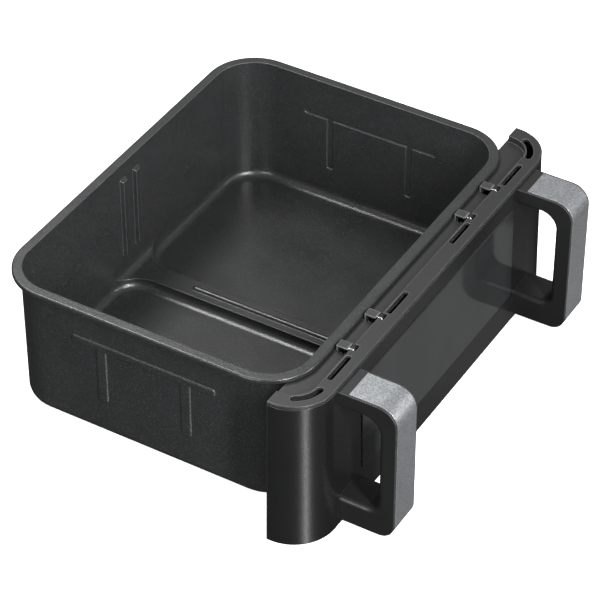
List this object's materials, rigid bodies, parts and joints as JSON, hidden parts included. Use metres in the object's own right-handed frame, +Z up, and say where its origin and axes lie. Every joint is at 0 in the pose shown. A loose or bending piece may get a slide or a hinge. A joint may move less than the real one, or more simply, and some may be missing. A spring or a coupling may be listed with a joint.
{
  "type": "air fryer drawer",
  "caption": "Deep rounded-corner cooking drawer with a speckled non-stick pan in two floor zones, a hollow black front with a gloss panel, a slotted top cover and two C-shaped handles",
  "frame": {"origin": "centre of the bounding box in plan, at the height of the front housing's underside", "axes": "+X runs along the front from the left handle to the right handle as seen from the front, +Y runs from the front towards the back of the pan, +Z is up"},
  "size_m": [0.4078, 0.3548, 0.1408],
  "materials": {
    "pan_coating": "speckled non-stick coating on pressed steel",
    "housing_black": "fine satin moulded plastic",
    "cover_grey": "matte moulded plastic",
    "panel_gloss": "smoked gloss panel",
    "gasket_rubber": "soft black seal",
    "liner_plastic": "plain moulded inner plate",
    "insulation_felt": "pale heat-proof felt",
    "bracket_paint": "dark heat-proof paint on pressed sheet steel",
    "spring_steel": "bright spring steel",
    "grip_plastic": "soft matte grip plastic",
    "strip_metallic": "metallic grey lacquer",
    "core_steel": "bare steel bar",
    "screw_steel": "zinc-plated screws"
  },
  "bodies": {
    "root": {"drawer_pan": "pan_coating", "pan_bracket": "bracket_paint", "front_housing": "housing_black", "top_cover": "cover_grey", "window_panel": "panel_gloss", "window_gasket": "gasket_rubber", "inner_liner": "liner_plastic", "liner_screws": "screw_steel", "insulation_pad": "insulation_felt", "catch_left_outer": "spring_steel", "catch_left_inner": "spring_steel", "catch_right_inner": "spring_steel", "catch_right_outer": "spring_steel", "handle_grip_left": "grip_plastic", "handle_strip_left": "strip_metallic", "handle_core_left": "core_steel", "handle_plate_left": "core_steel", "handle_screws_left": "screw_steel", "handle_grip_right": "grip_plastic", "handle_strip_right": "strip_metallic", "handle_core_right": "core_steel", "handle_plate_right": "core_steel", "handle_screws_right": "screw_steel"}
  },
  "joints": []
}
